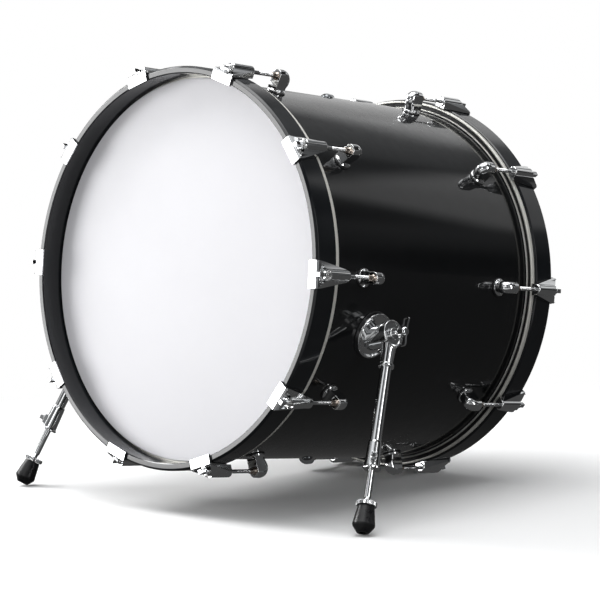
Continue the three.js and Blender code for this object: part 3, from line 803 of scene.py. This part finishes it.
def elbow_mesh():
    """The eye, its neck and the collar that grips the tube."""
    eye = rounded([
        (BOLT_RADIUS + 0.4, EYE_INNER), (EYE_RADIUS, EYE_INNER),
        (EYE_RADIUS, EYE_OUTER), (EYE_RADIUS - 3, EYE_OUTER),
        (EYE_RADIUS - 4.2, EYE_OUTER - 3), (BOLT_RADIUS + 0.4, EYE_OUTER - 3),
    ], [0, 1.5, 1.2, 0.9, 0.8, 0], 5)
    eye = turned("eye", eye, "X", 80)
    neck = [(0, NECK_END), (9.2, NECK_END), (10.4, -24), (12.4, -11), (0, -11)]
    neck = rounded(neck, [0, 0, 12, 0, 0], 8, closed=False)
    neck = turned("neck", neck, "Z", 64, False)
    slab = [
        (EYE_INNER, 0), (EYE_INNER, -17), (-11, -28), (-11, NECK_END - 1),
        (11, NECK_END - 1), (11, -24), (EYE_OUTER - 1, -15), (EYE_OUTER - 1, 0),
    ]
    neck = combined(neck, "INTERSECT", prism("slab", slab, -20, 20, "Y"))
    neck = combined(neck, "DIFFERENCE", pin("room", EYE_RADIUS - 4, EYE_OUTER - 3, EYE_OUTER + 9, "X", 64))
    collar = rounded([(0, NECK_END - 5), (11.5, NECK_END - 5), (11.5, NECK_END + 0.2), (0, NECK_END + 0.2)],
                     [0, 1.4, 1.4, 0], 5, closed=False)
    collar = turned("collar", collar, "Z", 64, False)
    # The inner leg's top slides up into this bore when the leg is at its shortest.
    bore = pin("bore", TUBE_BORE, NECK_END - 8, ELBOW_BORE_END, "Z", 48)
    whole = combined(combined(eye, "UNION", neck, collar), "DIFFERENCE", bore)
    return shaded(eased(whole, 0.5, 3, 40), 42)


def tube_mesh(end):
    start = NECK_END - 4
    profile = [(TUBE_BORE, start), (TUBE_RADIUS, start), (TUBE_RADIUS, end), (TUBE_BORE, end)]
    profile = rounded(profile, [0, 0, 0.5, 0.3], 3)
    return shaded(turned("tube", profile, "Z", 56))


def clamp_mesh(side):
    """A flared sleeve with a square boss for the key bolt, and a lobed band round its foot."""
    profile = rounded([
        (5.5, CLAMP_END), (12.4, CLAMP_END), (12.4, CLAMP_END + 2.6), (11.2, CLAMP_END + 4.2),
        (9.7, CLAMP_TOP - 3), (9.2, CLAMP_TOP), (8.25, CLAMP_TOP),
        (8.25, CLAMP_END + 3), (5.5, CLAMP_END + 3),
    ], [0.3, 0.8, 0.8, 0.8, 2, 0.5, 0.2, 0, 0.2], 4)

    def lobes(radius, height, angle):
        return 0.55 * math.cos(angle * 6) if radius > 11.6 and height < CLAMP_END + 3 else 0

    sleeve = turned("clamp", profile, "Z", 96, True, (0, 0, 0), lobes)
    boss = block("boss", (6, 14.6), (-4, 4), (CLAMP_END + 7.5, CLAMP_END + 22))
    slot = block("slot", (8.4, 16), (-0.6, 0.6), (CLAMP_END + 4, CLAMP_TOP + 1))
    bore = pin("bore", 8.25, CLAMP_END + 3, CLAMP_TOP + 1, "Z", 48)
    boss = combined(eased(boss, 0.9), "DIFFERENCE", bore)
    bolt = rounded([(0, 13), (4.6, 13), (4.6, 15.6), (0, 15.6)], [0, 0, 0.6, 0], 3, closed=False)
    bolt = turned("bolt", bolt, "X", 32, False, (0, 0, CLAMP_END + 15))
    middle = CLAMP_END + 15
    key = block("key", (15, 21), (-KEY_HALF, KEY_HALF), (middle - KEY_HALF, middle + KEY_HALF))
    bolt = combined(bolt, "UNION", eased(key, 0.5))
    spin = Matrix.Rotation(math.radians(-42 * side), 4, "Z")
    for part in (boss, slot, bolt):
        part.transform(spin)
    body = combined(combined(sleeve, "UNION", boss), "DIFFERENCE", slot)
    return shaded(eased(body, 0.35, 2, 40), 42), shaded(bolt)


def wing_bolt_mesh():
    """A bolt with a turned hub and two open loops to turn it by."""
    shaft = pin("shaft", BOLT_RADIUS - 0.1, EYE_INNER - 15, 18, "X", 32)
    hub = [(0, 15.5), (5.2, 15.5), (6.6, 18), (6.6, 28), (4.8, 30.4), (0, 30.4)]
    hub = rounded(hub, [0, 0.6, 1.2, 2, 2, 0], 5, closed=False)
    hub = turned("hub", hub, "X", 48, False)
    low, high = EYE_OUTER - 2.6, EYE_OUTER + 1.8
    washer = rounded([(0, low), (8.6, low), (8.6, high), (0, high)], [0, 0.5, 0.9, 0], 4, closed=False)
    washer = turned("washer", washer, "X", 48, False)
    whole = combined(shaft, "UNION", hub, washer)
    for way in (1, -1):
        loop = [(17.4, 4), (20.5, 9), (20.5, 22.5), (32, 22.5), (30.4, 4)]
        loop = rounded([(x, way * y) for x, y in loop], [0, 3, 3.2, 3.2, 0], 6)
        inside = [(20.6, 8), (23, 11), (23, 20), (29.4, 20), (28.4, 8)]
        inside = rounded([(x, way * y) for x, y in inside], [1, 1.6, 1.6, 1.6, 1], 5)
        wing = prism("loop", loop, -1.5, 1.5, "Z")
        wing = combined(wing, "DIFFERENCE", prism("inside", inside, -3, 3, "Z"))
        wing.transform(Matrix.Rotation(math.pi / 2, 4, "X"))
        whole = combined(whole, "UNION", wing)
    return shaded(eased(whole, 0.5, 3, 40), 42)


def inner_leg_meshes(top, tip):
    """A plain rod down to its step, and below that a thread with a hardened point."""
    rod = rounded([
        (0, LEG_STEP - 0.5), (4.2, LEG_STEP - 0.5),
        (LEG_RADIUS, LEG_STEP + 0.4), (LEG_RADIUS, top), (0, top),
    ], [0, 0, 0.3, 1.2, 0], 4, closed=False)
    rod = turned("rod", rod, "Z", 48, False)
    point = tip + 1.6
    spike = [(0, point), (1, point + 0.6), (3.5, point + 9.4), (0, point + 9.4)]
    spike = turned("spike", rounded(spike, [0, 0.3, 0, 0], 3, closed=False), "Z", 40, False)
    screw = thread(LEG_THREAD_RADIUS, 0.5, LEG_THREAD_PITCH, point + 9, LEG_STEP - 0.2, "Z", 24)
    return joined("inner_leg", shaded(rod), shaded(screw, 75), shaded(spike))


def lock_ring_mesh(low):
    high = low + LOCK_RING_HEIGHT
    profile = [(4.4, low), (LOCK_RING_RADIUS, low), (LOCK_RING_RADIUS, high), (4.4, high)]
    profile = rounded(profile, [0.4, 0.9, 0.9, 0.4], 4)

    def knurl(radius, _height, angle):
        return 0.38 * math.cos(angle * 40) if radius > 13 else 0

    return shaded(turned("lock_ring", profile, "Z", 240, True, (0, 0, 0), knurl))


def foot_mesh(tip):
    top = tip + FOOT_HEIGHT
    profile = rounded([
        (4.7, tip), (8.5, tip), (14.9, tip + 8.6), (16, tip + 11), (11.7, top), (4.7, top),
    ], [0.4, 0.8, 1.4, 1.6, 1.4, 0.4], 6)
    return shaded(turned("foot", profile, "Z", 96))


def make_spur(side, word):
    leg = leg_frame(word)
    pivot, up = leg.translation, leg.to_3x3() @ Z_AXIS
    tip = along(word + "_rubber_foot", pivot, up)[0]
    tube_end = along(word + "_spur_tube", pivot, up)[0]
    leg_top = along(word + "_inner_leg", pivot, up)[1]
    spur, chrome = word + "_spur", "chrome_hardware"
    inner_leg = inner_leg_meshes(leg_top, tip)
    lock_ring = lock_ring_mesh(tip + FOOT_HEIGHT + 0.3)
    clamp, bolt = clamp_mesh(side)
    for name, mesh, place, body, slot, material, node in (
        ("spur_flange", bracket_mesh(side, leg), DRUM, "root", chrome, CHROME, "_spur_bracket"),
        ("spur_gasket", bracket_gasket_mesh(side, leg), DRUM, "root", "rubber", GASKET, "_spur_bracket"),
        ("spur_elbow", elbow_mesh(), leg, spur, chrome, CHROME, "_spur_tube"),
        ("outer_tube", tube_mesh(tube_end), leg, spur, chrome, CHROME, "_spur_tube"),
        ("leg_clamp", clamp, leg, spur, chrome, CHROME, "_spur_clamp"),
        ("clamp_key_bolt", bolt, leg, spur, chrome, CHROME, "_spur_clamp"),
        ("spur_wing_bolt", wing_bolt_mesh(), leg, word + "_wing_bolt", chrome, CHROME, "_wing_bolt"),
        ("telescoping_leg", inner_leg, leg, word + "_inner_leg", chrome, CHROME, "_inner_leg"),
        ("knurled_lock_ring", lock_ring, leg, word + "_foot", chrome, CHROME, "_lock_ring"),
        ("rubber_tip", foot_mesh(tip), leg, word + "_foot", "rubber", FOOT_RUBBER, "_rubber_foot"),
    ):
        piece(f"{word}_{name}", mesh, place, body, material, [word + node])


# ---- Studio -----------------------------------------------------------------------------------------

# The floor is diffuse within FLOOR_NEAR metres of the origin and plain white beyond FLOOR_FAR.
FLOOR_SIZE = 40.0
FLOOR_WHITE = 0.92
FLOOR_NEAR, FLOOR_FAR = 0.6, 1.3

# What every ray but the camera's sees: the floor's painted glow, painted shade behind and under the drum and
# painted light in front, its two brightnesses, and the Y where each begins.
FLOOR_DIM, FLOOR_LIT = 0.06, 0.62
FLOOR_DIM_FROM, FLOOR_LIT_FROM = -0.35, -1.0

# The room's brightness behind, in front and overhead, and the panels and gaps that break it up.
ROOM_BACK, ROOM_FRONT, ROOM_ABOVE = 0.05, 0.07, 0.26
PANELS, PANEL_DARK, PANEL_LIT = 2.4, 0.15, 3.4

# The share of a light's width over which it fades at each edge.
LIGHT_EDGE = 0.22


def make_floor():
    """A pale floor: it takes the drum's shadow close by, and runs out to plain white."""
    half = FLOOR_SIZE / 2
    mesh = bpy.data.meshes.new("floor")
    corners = [(-half, -half, 0), (half, -half, 0), (half, half, 0), (-half, half, 0)]
    mesh.from_pydata(corners, [], [(0, 1, 2, 3)])
    floor = bpy.data.objects.new("floor", mesh)
    bpy.context.scene.collection.objects.link(floor)
    material = bpy.data.materials.new("pale_floor")
    material.use_nodes = True
    nodes, links = material.node_tree.nodes, material.node_tree.links
    nodes.remove(nodes["Principled BSDF"])
    place = nodes.new("ShaderNodeTexCoord")
    length = nodes.new("ShaderNodeVectorMath")
    length.operation = "LENGTH"
    links.new(place.outputs["Object"], length.inputs[0])
    reach = nodes.new("ShaderNodeMapRange")
    reach.interpolation_type = "SMOOTHSTEP"
    reach.inputs["From Min"].default_value = FLOOR_NEAR
    reach.inputs["From Max"].default_value = FLOOR_FAR
    links.new(length.outputs["Value"], reach.inputs["Value"])
    near = nodes.new("ShaderNodeBsdfDiffuse")
    near.inputs["Color"].default_value = (FLOOR_WHITE, FLOOR_WHITE, FLOOR_WHITE, 1)
    far = nodes.new("ShaderNodeEmission")
    shade = nodes.new("ShaderNodeMixShader")
    links.new(reach.outputs["Result"], shade.inputs["Fac"])
    links.new(near.outputs["BSDF"], shade.inputs[1])
    links.new(far.outputs["Emission"], shade.inputs[2])
    # To every ray but the camera's the floor is a painted glow, dimmer than the floor looks. The drum
    # reflects it and takes light from it. It is painted shade behind and under the drum, and painted light
    # in front.
    painted_floor_glow = nodes.new("ShaderNodeEmission")
    sides = nodes.new("ShaderNodeSeparateXYZ")
    links.new(place.outputs["Object"], sides.inputs["Vector"])
    ahead = nodes.new("ShaderNodeMapRange")
    ahead.interpolation_type = "SMOOTHSTEP"
    ahead.inputs["From Min"].default_value = FLOOR_DIM_FROM
    ahead.inputs["From Max"].default_value = FLOOR_LIT_FROM
    ahead.inputs["To Min"].default_value = FLOOR_DIM
    ahead.inputs["To Max"].default_value = FLOOR_LIT
    links.new(sides.outputs["Y"], ahead.inputs["Value"])
    links.new(ahead.outputs["Result"], painted_floor_glow.inputs["Strength"])
    path = nodes.new("ShaderNodeLightPath")
    seen = nodes.new("ShaderNodeMixShader")
    links.new(path.outputs["Is Camera Ray"], seen.inputs["Fac"])
    links.new(painted_floor_glow.outputs["Emission"], seen.inputs[1])
    links.new(shade.outputs["Shader"], seen.inputs[2])
    links.new(seen.outputs["Shader"], nodes["Material Output"].inputs["Surface"])
    mesh.materials.append(material)


def make_world():
    """A white backdrop, with a dim room for reflections and a low fill."""
    world = bpy.data.worlds.new("studio")
    bpy.context.scene.world = world
    world.use_nodes = True
    nodes, links = world.node_tree.nodes, world.node_tree.links
    backdrop = nodes["Background"]
    backdrop.inputs["Color"].default_value = (1, 1, 1, 1)
    room = nodes.new("ShaderNodeBackground")
    room.inputs["Color"].default_value = (0.96, 0.98, 1, 1)
    sides = nodes.new("ShaderNodeSeparateXYZ")
    links.new(nodes.new("ShaderNodeTexCoord").outputs["Generated"], sides.inputs["Vector"])
    around = nodes.new("ShaderNodeMapRange")
    around.inputs["From Min"].default_value = 0.15
    around.inputs["From Max"].default_value = -0.25
    around.inputs["To Min"].default_value = ROOM_BACK
    around.inputs["To Max"].default_value = ROOM_FRONT
    links.new(sides.outputs["Y"], around.inputs["Value"])
    above = nodes.new("ShaderNodeMapRange")
    above.inputs["From Min"].default_value = 0.55
    above.inputs["From Max"].default_value = 0.75
    above.inputs["To Max"].default_value = ROOM_ABOVE
    links.new(sides.outputs["Z"], above.inputs["Value"])
    whole = nodes.new("ShaderNodeMath")
    whole.operation = "MAXIMUM"
    links.new(around.outputs["Result"], whole.inputs[0])
    links.new(above.outputs["Result"], whole.inputs[1])
    # Panels and gaps around the room give polished metal something to show.
    panels = nodes.new("ShaderNodeTexNoise")
    panels.inputs["Scale"].default_value = PANELS
    panels.inputs["Detail"].default_value = 1.0
    uneven = nodes.new("ShaderNodeMapRange")
    uneven.interpolation_type = "SMOOTHSTEP"
    uneven.inputs["From Min"].default_value = 0.44
    uneven.inputs["From Max"].default_value = 0.56
    uneven.inputs["To Min"].default_value = PANEL_DARK
    uneven.inputs["To Max"].default_value = PANEL_LIT
    links.new(panels.outputs["Fac"], uneven.inputs["Value"])
    varied = nodes.new("ShaderNodeMath")
    varied.operation = "MULTIPLY"
    links.new(whole.outputs["Value"], varied.inputs[0])
    links.new(uneven.outputs["Result"], varied.inputs[1])
    links.new(varied.outputs["Value"], room.inputs["Strength"])
    path = nodes.new("ShaderNodeLightPath")
    mix = nodes.new("ShaderNodeMixShader")
    links.new(path.outputs["Is Camera Ray"], mix.inputs["Fac"])
    links.new(room.outputs["Background"], mix.inputs[1])
    links.new(backdrop.outputs["Background"], mix.inputs[2])
    links.new(mix.outputs["Shader"], nodes["World Output"].inputs["Surface"])


def soften(data):
    """Fade a light towards its edges, as a diffuser does."""
    data.use_nodes = True
    nodes, links = data.node_tree.nodes, data.node_tree.links
    across = nodes.new("ShaderNodeSeparateXYZ")
    links.new(nodes.new("ShaderNodeNewGeometry").outputs["Parametric"], across.inputs["Vector"])
    whole = nodes.new("ShaderNodeMath")
    whole.operation = "MULTIPLY"
    for slot, axis in enumerate("XY"):
        middle = nodes.new("ShaderNodeMath")
        middle.operation = "PINGPONG"
        middle.inputs[1].default_value = 0.5
        links.new(across.outputs[axis], middle.inputs[0])
        fade = nodes.new("ShaderNodeMapRange")
        fade.interpolation_type = "SMOOTHSTEP"
        fade.inputs["From Max"].default_value = LIGHT_EDGE
        links.new(middle.outputs["Value"], fade.inputs["Value"])
        links.new(fade.outputs["Result"], whole.inputs[slot])
    links.new(whole.outputs["Value"], nodes["Emission"].inputs["Strength"])


def softbox(name, azimuth, elevation, distance, width, height, radiance):
    """An area light that faces the drum. Azimuth 0 is behind it, +Y, and 90 is to its right, +X."""
    target = Vector((0, 0, 0.33))
    a, e = math.radians(azimuth), math.radians(elevation)
    away = Vector((math.sin(a) * math.cos(e), math.cos(a) * math.cos(e), math.sin(e)))
    data = bpy.data.lights.new(name, "AREA")
    data.shape = "RECTANGLE"
    data.size, data.size_y = width, height
    data.energy = radiance * math.pi * width * height
    soften(data)
    light = bpy.data.objects.new(name, data)
    facing = away.to_track_quat("Z", "Y").to_matrix().to_4x4()
    light.matrix_world = Matrix.Translation(target + away * distance) @ facing
    light.visible_camera = False
    bpy.context.scene.collection.objects.link(light)


def make_studio():
    make_floor()
    make_world()
    softbox("overhead", 180, 86, 3.0, 3.6, 3.4, 2.1)
    softbox("overhead_core", 180, 86, 2.9, 2.2, 2.1, 2.0)
    softbox("left", -100, 33, 3.0, 1.9, 1.7, 13.2)
    softbox("front_left", -133, 7, 3.4, 2.1, 1.9, 7.4)
    softbox("front_right", 158, 24, 3.4, 1.3, 0.9, 2.4)
    softbox("right_strip", 92, 12, 3.0, 0.6, 2.6, 6.0)
    softbox("front_strip", 176, 6, 3.4, 0.5, 2.2, 3.4)
    softbox("back_left", -26, 20, 3.6, 2.8, 2.4, 0.62)
    softbox("back_right", 23, 25, 3.6, 1.5, 1.4, 0.5)
    bpy.context.scene.view_settings.view_transform = "Standard"


# ---- Everything -------------------------------------------------------------------------------------

make_shell()
make_end("resonant", FRONT_FILM)
make_end("batter", REAR_FILM)
station_meshes = {
    "claw": claw_mesh(),
    "claw_gasket": claw_gasket_mesh(),
    "tension_rod": rod_mesh(),
    "rod_washer": washer_mesh(),
    "lug_casting": lug_mesh(),
    "lug_gasket": lug_gasket_mesh(),
    "swivel_nut": nut_mesh(),
}
make_stations("resonant", station_meshes)
make_stations("batter", station_meshes)
make_vents()
make_spur(1, "right")
make_spur(-1, "left")
make_studio()
